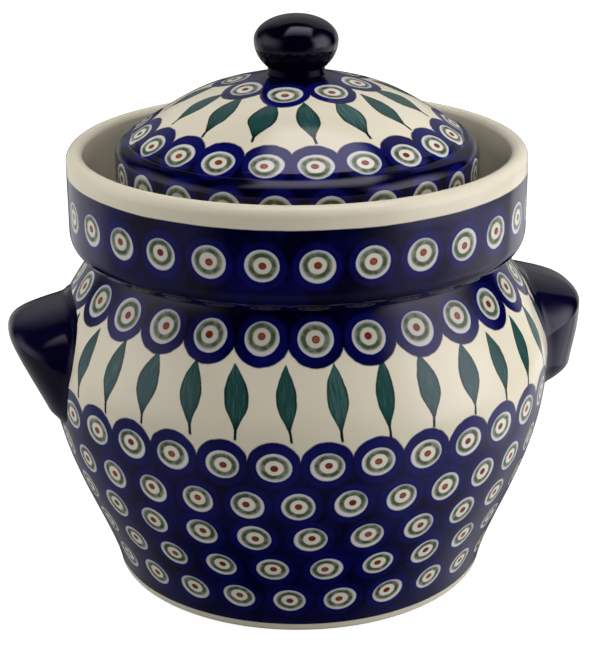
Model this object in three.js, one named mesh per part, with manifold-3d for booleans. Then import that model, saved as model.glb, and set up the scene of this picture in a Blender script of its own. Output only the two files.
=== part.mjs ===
// Fermentation crock with a water-sealed lid, lug handles and two half-moon weight stones.
// Millimetres, +Z up. The origin is the middle of the foot, on the table. The handles lie along X.

import * as THREE from 'three';
import { mergeVertices } from 'three/addons/utils/BufferGeometryUtils.js';
import Module from 'manifold-3d';

// Foot
const footRadius = 96.7;
const footRingWidth = 13;
const footRecess = 2.5;
const footEdgeRound = 2.5;

// Belly: the wall leaves the foot at a lean, stands upright at the belly and comes in to the waist
const flankLean = 0.22;
const flankReach = 32.5;
const bellyRadius = 128.7;
const bellyHeight = 115;
const bellyReachBelow = 49;
const bellyReachAbove = 24;
const shoulderHeight = 55.5;
const waistLean = 0.3;
const waistReach = 7;
const bodyWall = 8;
const floorThickness = 9;
const floorFillet = 8;

// Neck ring: a shelf under the collar, and the inner neck that stands on it
const neckRadius = 80;
const neckWall = 7;
const neckHeight = 38;
const shelfWidth = 23;
const shelfThickness = 8;
const shelfFillet = 4;

// Water trough
const moatWidth = 15.5;
const moatFloorThickness = 9;
const moatFillet = 5;
const collarWall = 8.5;
const collarHeight = 51.8;
const collarHemHeight = 11.5;
const rimInnerRound = 3.5;

// Lid
const neckClearance = 4.5;
const skirtWall = 6.5;
const skirtAboveNeck = 10;
const skirtEdgeRound = 2;
const lidShoulderRound = 8;
const domeEdgeAngle = THREE.MathUtils.degToRad(57);
const domeEdgeReach = 51;
const domeRise = 43;
const crownReach = 54;
const crownDrop = 14.2;
const gasNotchRadius = 6;

// Knob: an egg form, flatter above its widest ring than below it
const knobFootRadius = 14.5;
const knobNeckRadius = 14;
const knobRadius = 20.8;
const knobCentreRise = 12.8;
const knobTopRise = 12.4;
const knobUnderDrop = 18;

// Lug handles: the side outline shrinks towards both ends of the lug's width. The right lug has the fuller heel
const handleReach = 19.6;
const handleTipRise = 19.2;
const handleTipOver = 8.4;
const handleTipUnder = 4.8;
const handleTopRise = 38.4;
const handleTopReach = 4.3;
const handleTopFall = 9;
const leftHeelReach = 3;
const rightHeelReach = 13.4;
const handleHeelDrop = 19.6;
const handleHeelRound = 8;
const handleHeelGrip = 10;
const handleRootDepth = 28.7;
const handleHalfWidth = 43;
const handleEndMargin = 2;
const handleSquareness = 2.6;

// Weight stones
const stoneThickness = 20;
const stoneClearance = 2;
const stoneGap = 1.6;
const stoneEdgeRound = 3;
const fingerNotchRadius = 13;

// Clearances between pieces
const lutingGap = 0.3;
const restGap = 0.3;

// Facets
const aroundPot = 48;
const aroundKnob = 28;

// Places that follow from the sizes above
const waistRadius = neckRadius + shelfWidth;
const waistHeight = bellyHeight + shoulderHeight;
const floorTop = footRecess + floorThickness;
const neckTop = waistHeight + neckHeight;
const collarBottom = waistHeight + lutingGap;
const moatFloorTop = collarBottom + moatFloorThickness;
const skirtBottom = moatFloorTop + restGap;
const skirtTop = neckTop + skirtAboveNeck;
const skirtRadius = neckRadius + neckClearance + skirtWall;
const collarRadius = skirtRadius + moatWidth + collarWall;
const crownHeight = skirtTop + domeRise;

const wasm = await Module();
wasm.setup();

const at = (radius, height) => new THREE.Vector2(radius, height);

// Points on an ellipse about (radius, height), from one angle to another
function arc(radius, height, acrossRadius, upRadius, fromAngle, toAngle, steps) {
  const curve = new THREE.EllipseCurve(
    radius, height, acrossRadius, upRadius, fromAngle, toAngle, toAngle < fromAngle);
  return curve.getPoints(steps);
}

function turned(profile, segments) {
  return new THREE.LatheGeometry(profile, segments).rotateX(Math.PI / 2);
}

// Height or radius on an outline, read between its points
function readBetween(points, from, to, value) {
  const next = points.findIndex((point, i) => i > 0
    && (points[i - 1][from] - value) * (point[from] - value) <= 0);
  const [a, b] = [points[next - 1], points[next]];
  return THREE.MathUtils.mapLinear(value, a[from], b[from], a[to], b[to]);
}

// Closed geometry to solid and back, for cuts
function toSolid(geometry) {
  const bare = geometry.clone();
  bare.deleteAttribute('normal');
  bare.deleteAttribute('uv');
  const merged = mergeVertices(bare, 1e-4);
  const index = Array.from(merged.index.array);
  const triVerts = [];
  for (let i = 0; i < index.length; i += 3) {
    const corners = index.slice(i, i + 3);
    if (new Set(corners).size === 3) triVerts.push(...corners);
  }
  return new wasm.Manifold(new wasm.Mesh({
    numProp: 3,
    vertProperties: new Float32Array(merged.attributes.position.array),
    triVerts: new Uint32Array(triVerts),
  }));
}

function toGeometry(solid) {
  const mesh = solid.getMesh();
  const geometry = new THREE.BufferGeometry();
  geometry.setAttribute('position', new THREE.BufferAttribute(mesh.vertProperties, 3));
  geometry.setIndex(new THREE.BufferAttribute(mesh.triVerts, 1));
  geometry.computeVertexNormals();
  return geometry;
}

const crock = new THREE.Group();

function addPiece(name, geometry, color, roughness) {
  const material = new THREE.MeshStandardMaterial({ color, roughness, metalness: 0 });
  const mesh = new THREE.Mesh(geometry, material);
  mesh.name = name;
  crock.add(mesh);
}

const cobaltGlaze = 0x1d1b63;
const navyGlaze = 0x10102e;
const creamGlaze = 0xd9d3c4;
const glazeRoughness = 0.12;
const clayRoughness = 0.6;

// Outer wall of the pot, foot to waist
const flank = new THREE.CubicBezierCurve(
  at(footRadius, footEdgeRound),
  at(footRadius + flankLean * flankReach, footEdgeRound + flankReach),
  at(bellyRadius, bellyHeight - bellyReachBelow),
  at(bellyRadius, bellyHeight));
const shoulder = new THREE.CubicBezierCurve(
  at(bellyRadius, bellyHeight),
  at(bellyRadius, bellyHeight + bellyReachAbove),
  at(waistRadius + waistLean * waistReach, waistHeight - waistReach),
  at(waistRadius, waistHeight));
const wall = [...flank.getPoints(9), ...shoulder.getPoints(7).slice(1)];
const wallRadiusAt = (height) => readBetween(wall, 'y', 'x', height);

// Inside of the pot
const filletTop = floorTop + floorFillet;
const floorRadius = wallRadiusAt(filletTop) - bodyWall - floorFillet;
const shelfUnder = waistHeight - shelfThickness;
const mouthRadius = neckRadius - neckWall;
const potRim = shelfUnder - lutingGap;

function crockBody() {
  const ringInner = footRadius - footRingWidth;
  const outside = wall.filter((point) => point.y > footEdgeRound && point.y < potRim);
  const inside = outside
    .filter((point) => point.y > filletTop)
    .map((point) => at(point.x - bodyWall, point.y))
    .reverse();
  return turned([
    at(0, footRecess),
    at(ringInner - footRecess, footRecess),
    at(ringInner, 0),
    ...arc(footRadius - footEdgeRound, footEdgeRound, footEdgeRound, footEdgeRound, -Math.PI / 2, 0, 3),
    ...outside,
    at(wallRadiusAt(potRim), potRim),
    at(wallRadiusAt(potRim) - bodyWall, potRim),
    ...inside,
    ...arc(floorRadius, filletTop, floorFillet, floorFillet, 0, -Math.PI / 2, 3),
    at(0, floorTop),
  ], aroundPot);
}

// Neck ring: the shelf that closes the shoulder, and the neck that stands on it
function neckRing() {
  const lip = neckWall / 2;
  return turned([
    at(mouthRadius + shelfFillet, shelfUnder),
    at(wallRadiusAt(shelfUnder), shelfUnder),
    ...wall.filter((point) => point.y > shelfUnder),
    at(neckRadius, waistHeight),
    ...arc(neckRadius - lip, neckTop - lip, lip, lip, 0, Math.PI, 6),
    ...arc(mouthRadius + shelfFillet, shelfUnder + shelfFillet, shelfFillet, shelfFillet,
      Math.PI, Math.PI * 1.5, 2),
  ], aroundPot);
}

function moatCollar() {
  const rimTop = collarBottom + collarHeight;
  const rimOuterRound = collarWall - rimInnerRound;
  const moatRadius = collarRadius - collarWall;
  const holeRadius = neckRadius + lutingGap;
  return turned([
    at(holeRadius, collarBottom),
    ...arc(waistRadius, collarBottom + collarHemHeight, collarRadius - waistRadius, collarHemHeight,
      -Math.PI / 2, 0, 6),
    ...arc(collarRadius - rimOuterRound, rimTop - rimOuterRound, rimOuterRound, rimOuterRound,
      0, Math.PI / 2, 4),
    ...arc(moatRadius + rimInnerRound, rimTop - rimInnerRound, rimInnerRound, rimInnerRound,
      Math.PI / 2, Math.PI, 3).slice(1),
    ...arc(moatRadius - moatFillet, moatFloorTop + moatFillet, moatFillet, moatFillet, 0, -Math.PI / 2, 3),
    at(holeRadius, moatFloorTop),
    at(holeRadius, collarBottom),
  ], aroundPot);
}

// Lid: straight skirt, rounded shoulder, then a dome up to the crown
const shoulderCentre = at(skirtRadius - lidShoulderRound, skirtTop);
const domeEdge = at(
  shoulderCentre.x + lidShoulderRound * Math.cos(domeEdgeAngle),
  shoulderCentre.y + lidShoulderRound * Math.sin(domeEdgeAngle));
const dome = new THREE.CubicBezierCurve(
  domeEdge,
  at(domeEdge.x - domeEdgeReach * Math.sin(domeEdgeAngle), domeEdge.y + domeEdgeReach * Math.cos(domeEdgeAngle)),
  at(crownReach, crownHeight - crownDrop),
  at(0, crownHeight));
const domeSteps = 9;
const domePoints = dome.getPoints(domeSteps);

function lidDome() {
  const inner = skirtRadius - skirtWall;
  const underside = [];
  for (let i = 0; i < domeSteps; i += 1) {
    const along = dome.getTangent(i / domeSteps);
    underside.push(at(domePoints[i].x - along.y * skirtWall, domePoints[i].y + along.x * skirtWall));
  }
  const crownUnder = underside[domeSteps - 1];
  const shell = turned([
    at(0, crownUnder.y),
    ...underside.reverse().slice(1),
    ...arc(shoulderCentre.x, shoulderCentre.y, lidShoulderRound - skirtWall, lidShoulderRound - skirtWall,
      domeEdgeAngle, 0, 3).slice(1),
    ...arc(inner + skirtEdgeRound, skirtBottom + skirtEdgeRound, skirtEdgeRound, skirtEdgeRound,
      Math.PI, Math.PI * 1.5, 2),
    ...arc(skirtRadius - skirtEdgeRound, skirtBottom + skirtEdgeRound, skirtEdgeRound, skirtEdgeRound,
      -Math.PI / 2, 0, 2),
    ...arc(shoulderCentre.x, shoulderCentre.y, lidShoulderRound, lidShoulderRound, 0, domeEdgeAngle, 5),
    ...domePoints.slice(1),
  ], aroundPot);
  // One bar across the lid cuts a gas notch in the skirt's lower edge on each side
  const bar = new THREE.CylinderGeometry(gasNotchRadius, gasNotchRadius, 2 * collarRadius, 20);
  return toGeometry(toSolid(shell).subtract(toSolid(bar.translate(0, 0, skirtBottom))));
}

function lidKnob() {
  const seat = domePoints.filter((point) => point.x < knobFootRadius).reverse();
  const seatEdge = readBetween(domePoints, 'x', 'y', knobFootRadius);
  const centre = crownHeight + knobCentreRise;
  const neckAngle = Math.acos(knobNeckRadius / knobRadius);
  return turned([
    ...seat.map((point) => at(point.x, point.y + lutingGap)),
    at(knobFootRadius, seatEdge + lutingGap),
    ...arc(0, centre, knobRadius, knobUnderDrop, -neckAngle, 0, 6),
    ...arc(0, centre, knobRadius, knobTopRise, 0, Math.PI / 2, 8).slice(1, -1),
    at(0, centre + knobTopRise),
  ], aroundKnob);
}

// Lug: a side outline drawn across the lug's width and shrunk towards both ends, its root cut to the pot's wall
function lugHandle(heelReach) {
  const rootRadius = bellyRadius - handleRootDepth;
  const top = bellyHeight + handleTopRise;
  const tip = at(bellyRadius + handleReach, bellyHeight + handleTipRise);
  const heel = at(bellyRadius + heelReach, bellyHeight - handleHeelDrop);
  const bottom = heel.y - handleHeelRound;
  const lean = tip.clone().sub(heel).normalize();
  const belowHeel = heel.clone().addScaledVector(lean, -handleHeelRound / 2);
  const aboveHeel = heel.clone().addScaledVector(lean, handleHeelGrip);
  const outline = new THREE.Shape();
  outline.moveTo(rootRadius, bottom);
  outline.lineTo(bellyRadius - handleHeelRound / 2, bottom);
  outline.bezierCurveTo(heel.x - handleHeelRound / 3, bottom, belowHeel.x, belowHeel.y, heel.x, heel.y);
  outline.bezierCurveTo(aboveHeel.x, aboveHeel.y, tip.x, tip.y - handleTipUnder, tip.x, tip.y);
  outline.bezierCurveTo(
    tip.x, tip.y + handleTipOver,
    bellyRadius + handleTopReach, top - handleTopFall,
    rootRadius, top);
  const halfLength = handleHalfWidth - handleEndMargin;
  const blank = new THREE.ExtrudeGeometry(outline, {
    depth: 2 * halfLength,
    steps: 18,
    curveSegments: 8,
    bevelEnabled: false,
  });
  blank.translate(0, 0, -halfLength);
  const corners = blank.attributes.position;
  for (let i = 0; i < corners.count; i += 1) {
    const across = Math.abs(corners.getZ(i)) / handleHalfWidth;
    const share = (1 - across ** handleSquareness) ** (1 / handleSquareness);
    corners.setX(i, THREE.MathUtils.lerp(rootRadius, corners.getX(i), share));
    corners.setY(i, THREE.MathUtils.lerp(bellyHeight, corners.getY(i), share));
  }
  blank.rotateX(Math.PI / 2);
  const seat = turned([
    at(0, wall[0].y),
    ...wall.map((point) => at(point.x + lutingGap, point.y)),
    at(0, waistHeight),
  ], aroundPot);
  return toGeometry(toSolid(blank).subtract(toSolid(seat)));
}

// Half-moon stone: half of a disc that clears the pot's floor fillet, with a finger notch in its straight edge
function weightStone() {
  const radius = floorRadius - stoneClearance;
  const edge = stoneGap / 2;
  const lean = Math.asin(edge / radius);
  const outline = new THREE.Shape();
  outline.absarc(0, 0, radius, lean - Math.PI / 2, Math.PI / 2 - lean, false);
  outline.lineTo(edge, fingerNotchRadius);
  outline.absarc(edge, 0, fingerNotchRadius, Math.PI / 2, -Math.PI / 2, true);
  const stone = new THREE.ExtrudeGeometry(outline, {
    depth: stoneThickness - 2 * stoneEdgeRound,
    curveSegments: 14,
    bevelEnabled: true,
    bevelThickness: stoneEdgeRound,
    bevelSize: stoneEdgeRound,
    bevelOffset: -stoneEdgeRound,
    bevelSegments: 2,
  });
  return stone.translate(0, 0, floorTop + restGap + stoneEdgeRound);
}

const halfTurn = Math.PI;

addPiece('crock_body', crockBody(), cobaltGlaze, glazeRoughness);
addPiece('neck_ring', neckRing(), creamGlaze, glazeRoughness);
addPiece('moat_collar', moatCollar(), cobaltGlaze, glazeRoughness);
addPiece('right_handle', lugHandle(rightHeelReach), navyGlaze, glazeRoughness);
addPiece('left_handle', lugHandle(leftHeelReach).rotateZ(halfTurn), navyGlaze, glazeRoughness);
addPiece('lid_dome', lidDome(), cobaltGlaze, glazeRoughness);
addPiece('lid_knob', lidKnob(), navyGlaze, glazeRoughness);
addPiece('weight_stone_right', weightStone(), creamGlaze, clayRoughness);
addPiece('weight_stone_left', weightStone().rotateZ(halfTurn), creamGlaze, clayRoughness);

export default crock;
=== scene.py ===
import math

import bmesh
import bpy
from mathutils import Matrix, Vector


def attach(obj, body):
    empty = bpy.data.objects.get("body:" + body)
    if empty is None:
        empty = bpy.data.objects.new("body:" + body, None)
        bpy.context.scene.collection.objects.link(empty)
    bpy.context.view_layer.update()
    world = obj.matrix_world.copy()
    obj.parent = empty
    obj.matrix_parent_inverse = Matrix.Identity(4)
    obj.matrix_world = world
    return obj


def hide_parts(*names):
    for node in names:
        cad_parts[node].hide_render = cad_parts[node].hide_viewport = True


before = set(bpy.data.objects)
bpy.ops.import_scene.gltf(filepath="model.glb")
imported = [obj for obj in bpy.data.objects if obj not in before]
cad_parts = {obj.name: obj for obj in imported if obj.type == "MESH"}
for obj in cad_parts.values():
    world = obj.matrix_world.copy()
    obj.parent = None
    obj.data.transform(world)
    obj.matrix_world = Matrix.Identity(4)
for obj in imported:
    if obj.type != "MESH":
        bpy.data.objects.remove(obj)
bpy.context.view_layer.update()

metre = 0.001  # profiles are drawn in millimetres and scaled once, when a mesh is made
sharpAngle = 45  # degrees at which a shaded edge stays sharp

# Colours, as linear values
cream = (0.76, 0.695, 0.545, 1)
creamShade = (0.66, 0.60, 0.48, 1)
discWhite = (0.77, 0.73, 0.635, 1)
discEdge = (0.46, 0.50, 0.66, 1)
cobalt = (0.0035, 0.0045, 0.092, 1)
deepNavy = (0.0006, 0.0005, 0.011, 1)
knobNavy = (0.0008, 0.0006, 0.006, 1)
lugNavy = (0.0028, 0.0022, 0.02, 1)
lugShade = (0.0018, 0.0014, 0.012, 1)
ringGreen = (0.062, 0.09, 0.045, 1)
dotRed = (0.17, 0.022, 0.006, 1)
dotOrange = (0.34, 0.095, 0.032, 1)
leafTeal = (0.016, 0.062, 0.058, 1)
leafDark = (0.003, 0.02, 0.02, 1)
leafPale = (0.06, 0.13, 0.125, 1)
clayBuff = (0.60, 0.52, 0.41, 1)
clayShade = (0.50, 0.42, 0.32, 1)
clayFleck = (0.20, 0.13, 0.08, 1)


# Outlines

def bezierPoints(a, b, c, d, steps):
    points = []
    for i in range(steps + 1):
        t = i / steps
        u = 1 - t
        weights = (u ** 3, 3 * u * u * t, 3 * u * t * t, t ** 3)
        points.append(tuple(sum(w * p[k] for w, p in zip(weights, (a, b, c, d))) for k in (0, 1)))
    return points


def arcPoints(radius, height, across, up, fromDegrees, toDegrees, steps):
    points = []
    for i in range(steps + 1):
        angle = math.radians(fromDegrees + (toDegrees - fromDegrees) * i / steps)
        points.append((radius + across * math.cos(angle), height + up * math.sin(angle)))
    return points


def lengthsAlong(points):
    total = 0
    lengths = [0]
    for a, b in zip(points, points[1:]):
        total += math.dist(a, b)
        lengths.append(total)
    return lengths


def readBetween(points, key, value, wanted):
    for a, b in zip(points, points[1:]):
        if a[key] != b[key] and min(a[key], b[key]) <= value <= max(a[key], b[key]):
            share = (value - a[key]) / (b[key] - a[key])
            return a[wanted] + (b[wanted] - a[wanted]) * share
    raise ValueError("the outline never reaches " + str(value))


# Meshes

def addObject(name, data):
    made = bpy.data.objects.new(name, data)
    bpy.context.scene.collection.objects.link(made)
    return made


def meshPiece(name, verts, faces):
    mesh = bpy.data.meshes.new(name)
    mesh.from_pydata([Vector(v) * metre for v in verts], [], faces)
    built = bmesh.new()
    built.from_mesh(mesh)
    bmesh.ops.recalc_face_normals(built, faces=built.faces[:])
    built.to_mesh(mesh)
    built.free()
    mesh.shade_smooth()
    mesh.set_sharp_from_angle(angle=math.radians(sharpAngle))
    return addObject(name, mesh)


# A turned piece. finishes gives each stretch of the outline its material slot. The arc attribute is the
# distance along the outline, in millimetres, which the painted rows are laid out on.
def turnedPiece(name, outline, around, finishes=None, closed=False, startArc=0):
    lengths = [startArc + length for length in lengthsAlong(outline)]
    verts, faces, arcs, slots = [], [], [], []
    rings = []
    for (radius, height), length in zip(outline, lengths):
        ring = []
        count = 1 if radius < 1e-6 else around
        for i in range(count):
            angle = 2 * math.pi * i / around
            ring.append(len(verts))
            verts.append((radius * math.cos(angle), radius * math.sin(angle), height))
            arcs.append(length)
        rings.append(ring)
    pairs = list(zip(rings, rings[1:]))
    if closed:
        pairs.append((rings[-1], rings[0]))
    for stretch, (low, high) in enumerate(pairs):
        for i in range(around):
            j = (i + 1) % around
            corners = [low[i % len(low)], low[j % len(low)], high[j % len(high)], high[i % len(high)]]
            faces.append(tuple(dict.fromkeys(corners)))
            slots.append(finishes[stretch] if finishes else 0)
    piece = meshPiece(name, verts, faces)
    piece.data.polygons.foreach_set("material_index", slots)
    arcLayer = piece.data.attributes.new("arc", "FLOAT", "POINT")
    arcLayer.data.foreach_set("value", arcs)
    return piece


def dress(piece, body, node, slotName, *materials):
    for material in materials:
        piece.data.materials.append(material)
    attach(piece, body)
    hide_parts(node)


# Shader helpers

def addNode(tree, kind, settings=None, inputs=None):
    made = tree.nodes.new(kind)
    for key, value in (settings or {}).items():
        setattr(made, key, value)
    for key, value in (inputs or {}).items():
        if isinstance(value, bpy.types.NodeSocket):
            tree.links.new(value, made.inputs[key])
        else:
            made.inputs[key].default_value = value
    return made


def calc(tree, operation, *values):
    return addNode(tree, "ShaderNodeMath", {"operation": operation}, dict(enumerate(values))).outputs[0]


def stepNode(tree, value, low, high, start=0.0, end=1.0):
    return addNode(tree, "ShaderNodeMapRange", {"interpolation_type": "SMOOTHSTEP"}, {
        "Value": value, "From Min": low, "From Max": high, "To Min": start, "To Max": end}).outputs["Result"]


def times(tree, first, second):
    return calc(tree, "MULTIPLY", first, second)


def plus(tree, first, second):
    return calc(tree, "ADD", first, second)


def less(tree, first, second):
    return calc(tree, "SUBTRACT", first, second)


def timesPlus(tree, first, second, third):
    return calc(tree, "MULTIPLY_ADD", first, second, third)


# 0 below low and 1 above high, with a soft step between; low above high turns it round
def softStep(tree, value, low, high):
    return stepNode(tree, value, low, high) if low < high else stepNode(tree, value, high, low, 1.0, 0.0)


def mixColour(tree, share, first, second):
    made = addNode(tree, "ShaderNodeMix", {"data_type": "RGBA"}, {0: share, 6: first, 7: second})
    return made.outputs[2]


def objectPlace(tree):
    return addNode(tree, "ShaderNodeTexCoord").outputs["Object"]


def heightOf(tree, vector):
    return addNode(tree, "ShaderNodeSeparateXYZ", None, {"Vector": vector}).outputs["Z"]


def noise(tree, place, scale, detail=3.0):
    made = addNode(tree, "ShaderNodeTexNoise", None, {"Vector": place, "Scale": scale, "Detail": detail})
    return made.outputs["Fac"]


# Three random values that stay the same over one stamp of a row
def stampChance(tree, stamp, seed):
    spot = addNode(tree, "ShaderNodeCombineXYZ", None, {"X": stamp, "Y": seed})
    chance = addNode(tree, "ShaderNodeTexWhiteNoise", {"noise_dimensions": "2D"}, {"Vector": spot.outputs[0]})
    parts = addNode(tree, "ShaderNodeSeparateColor", None, {"Color": chance.outputs["Color"]})
    return [less(tree, part, 0.5) for part in parts.outputs]


def newGroup(name, inputs, outputs):
    group = bpy.data.node_groups.new(name, "ShaderNodeTree")
    for socketName, default in inputs:
        kind = "NodeSocketColor" if isinstance(default, tuple) else "NodeSocketFloat"
        socket = group.interface.new_socket(socketName, in_out="INPUT", socket_type=kind)
        socket.default_value = default
    for socketName, kind in outputs:
        group.interface.new_socket(socketName, in_out="OUTPUT", socket_type=kind)
    given = group.nodes.new("NodeGroupInput")
    return group, given.outputs


def closeGroup(group, results):
    addNode(group, "NodeGroupOutput", None, results)


def useGroup(tree, group, inputs=None):
    return addNode(tree, "ShaderNodeGroup", {"node_tree": group}, inputs).outputs


floatOut = "NodeSocketFloat"
colourOut = "NodeSocketColor"


# Where a point lies round the pot: its turn, its distance from the axis and its arc along the outline
def buildPotPlace():
    group, given = newGroup("potPlace", [], [("Turn", floatOut), ("Radius", floatOut), ("Arc", floatOut)])
    split = addNode(group, "ShaderNodeSeparateXYZ", None, {"Vector": objectPlace(group)}).outputs
    angle = calc(group, "ARCTAN2", split["Y"], split["X"])
    squares = timesPlus(group, split["X"], split["X"], times(group, split["Y"], split["Y"]))
    arc = addNode(group, "ShaderNodeAttribute", {"attribute_name": "arc"}).outputs["Fac"]
    closeGroup(group, {
        "Turn": calc(group, "DIVIDE", angle, 2 * math.pi),
        "Radius": calc(group, "DIVIDE", calc(group, "SQRT", squares), metre),
        "Arc": arc})
    return group


# One stamp of a row: its number, and the place across and along it in millimetres
def stampPlace(group, given):
    cell = timesPlus(group, given["Turn"], given["Count"], given["Phase"])
    number = calc(group, "FLOOR", plus(group, cell, 0.5))
    girth = times(group, given["Radius"], 2 * math.pi)
    pitch = calc(group, "DIVIDE", girth, given["Count"])
    across = times(group, less(group, cell, number), pitch)
    along = less(group, given["Arc"], given["Row Arc"])
    return calc(group, "WRAP", number, given["Count"], 0.0), across, along


def ellipseReach(group, x, y):
    return calc(group, "SQRT", timesPlus(group, x, x, times(group, y, y)))


# A row of stamped eyes: white disc, soft green ring and red dot, with a brushed petal round each.
# Pairs are soft edges, in shares of the disc's half width.
eyeStamp = {
    "discSoft": (1.025, 0.975), "sizeChance": 0.10, "wobble": 0.05, "wobbleScale": 210.0,
    "rimEdge": (0.84, 0.99), "rimShare": 0.8,
    "ringInside": (0.46, 0.57), "ringOutside": (0.94, 0.70), "ringSlip": (0.15, 0.14), "ringRise": 0.04,
    "pressScale": 300.0, "pressLeast": 0.45,
    "dotEdge": (0.255, 0.195), "dotSlip": 0.10, "coreEdge": (0.24, 0.08), "coreChance": 1.2, "coreShare": 0.45,
    "petalSoft": 0.45, "petalWobble": 1.1, "ringSeed": 31.0, "dotSeed": 67.0}


def buildEyeRow():
    group, given = newGroup("eyeRow", [
        ("Turn", 0.0), ("Radius", 0.0), ("Arc", 0.0), ("Row Arc", 0.0), ("Count", 28.0), ("Phase", 0.0),
        ("Disc Width", 16.4), ("Disc Height", 16.0), ("Petal Radius", 13.0), ("Wander", 0.9), ("Seed", 1.0),
        ("White", discWhite)], [
        ("Disc", floatOut), ("Color", colourOut), ("Petal", floatOut), ("Reach", floatOut)])
    stamp, across, along = stampPlace(group, given)
    shift = stampChance(group, stamp, given["Seed"])
    x = less(group, across, times(group, shift[0], given["Wander"]))
    y = less(group, along, times(group, shift[1], given["Wander"]))
    place = objectPlace(group)
    wobble = less(group, noise(group, place, eyeStamp["wobbleScale"], 2.0), 0.5)
    reach = timesPlus(group, wobble, eyeStamp["petalWobble"], ellipseReach(group, x, y))

    # The disc, from 0 in its middle to 1 at its edge
    grow = timesPlus(group, shift[2], -eyeStamp["sizeChance"], 2.0)
    sx = calc(group, "DIVIDE", times(group, x, grow), given["Disc Width"])
    sy = calc(group, "DIVIDE", times(group, y, grow), given["Disc Height"])
    disc = timesPlus(group, wobble, eyeStamp["wobble"], ellipseReach(group, sx, sy))

    # The ring is stamped off the disc's middle, and the dot off the ring's
    slip = stampChance(group, stamp, plus(group, given["Seed"], eyeStamp["ringSeed"]))
    slipAcross, slipUp = eyeStamp["ringSlip"]
    rx = timesPlus(group, slip[0], -slipAcross, sx)
    ry = less(group, timesPlus(group, slip[1], -slipUp, sy), eyeStamp["ringRise"])
    ring = timesPlus(group, wobble, eyeStamp["wobble"], ellipseReach(group, rx, ry))
    press = plus(group, noise(group, place, eyeStamp["pressScale"], 2.0), eyeStamp["pressLeast"])
    green = times(group, softStep(group, ring, *eyeStamp["ringInside"]),
                  softStep(group, ring, *eyeStamp["ringOutside"]))
    green = calc(group, "MINIMUM", times(group, green, press), 1.0)
    nudge = stampChance(group, stamp, plus(group, given["Seed"], eyeStamp["dotSeed"]))
    dot = ellipseReach(group, *(
        timesPlus(group, chance, -eyeStamp["dotSlip"], side) for chance, side in zip(nudge, (rx, ry))))
    core = times(group, softStep(group, dot, *eyeStamp["coreEdge"]),
                 timesPlus(group, nudge[2], eyeStamp["coreChance"], eyeStamp["coreShare"]))

    rim = times(group, softStep(group, disc, *eyeStamp["rimEdge"]), eyeStamp["rimShare"])
    colour = mixColour(group, rim, given["White"], discEdge)
    colour = mixColour(group, green, colour, ringGreen)
    colour = mixColour(group, softStep(group, dot, *eyeStamp["dotEdge"]), colour,
                       mixColour(group, core, dotRed, dotOrange))
    past = less(group, reach, given["Petal Radius"])
    closeGroup(group, {
        "Disc": softStep(group, disc, *eyeStamp["discSoft"]), "Color": colour,
        "Petal": softStep(group, past, eyeStamp["petalSoft"], -eyeStamp["petalSoft"]), "Reach": reach})
    return group


# A row of brushed leaves, tip up where Tip is 1 and down where it is -1. Pairs are soft edges.
leafBrush = {
    "stemShare": 0.06, "stemHalf": 0.72, "stemWobble": 0.4, "stemSoft": 0.15, "stemEnd": (-0.53, -0.49),
    "stemTop": (0.16, 0.08), "lengthChance": 0.10, "bow": 10.0, "wobbleScale": 160.0,
    "hollow": 0.42, "hollowTo": (0.02, 0.42), "stoutChance": 0.18, "bladeSoft": 0.22, "bladeEnd": (0.004, 0.03),
    "edgeFrom": (0.68, 0.98), "edgeShare": 0.85, "footTo": (0.30, 0.06), "footShare": 0.85,
    "streakAcross": 1.25, "streakAlong": 0.10, "streakStep": 3.7, "toneChance": 0.3, "toneEdge": (0.40, 0.78),
    "bendSeed": 19.0}


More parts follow.
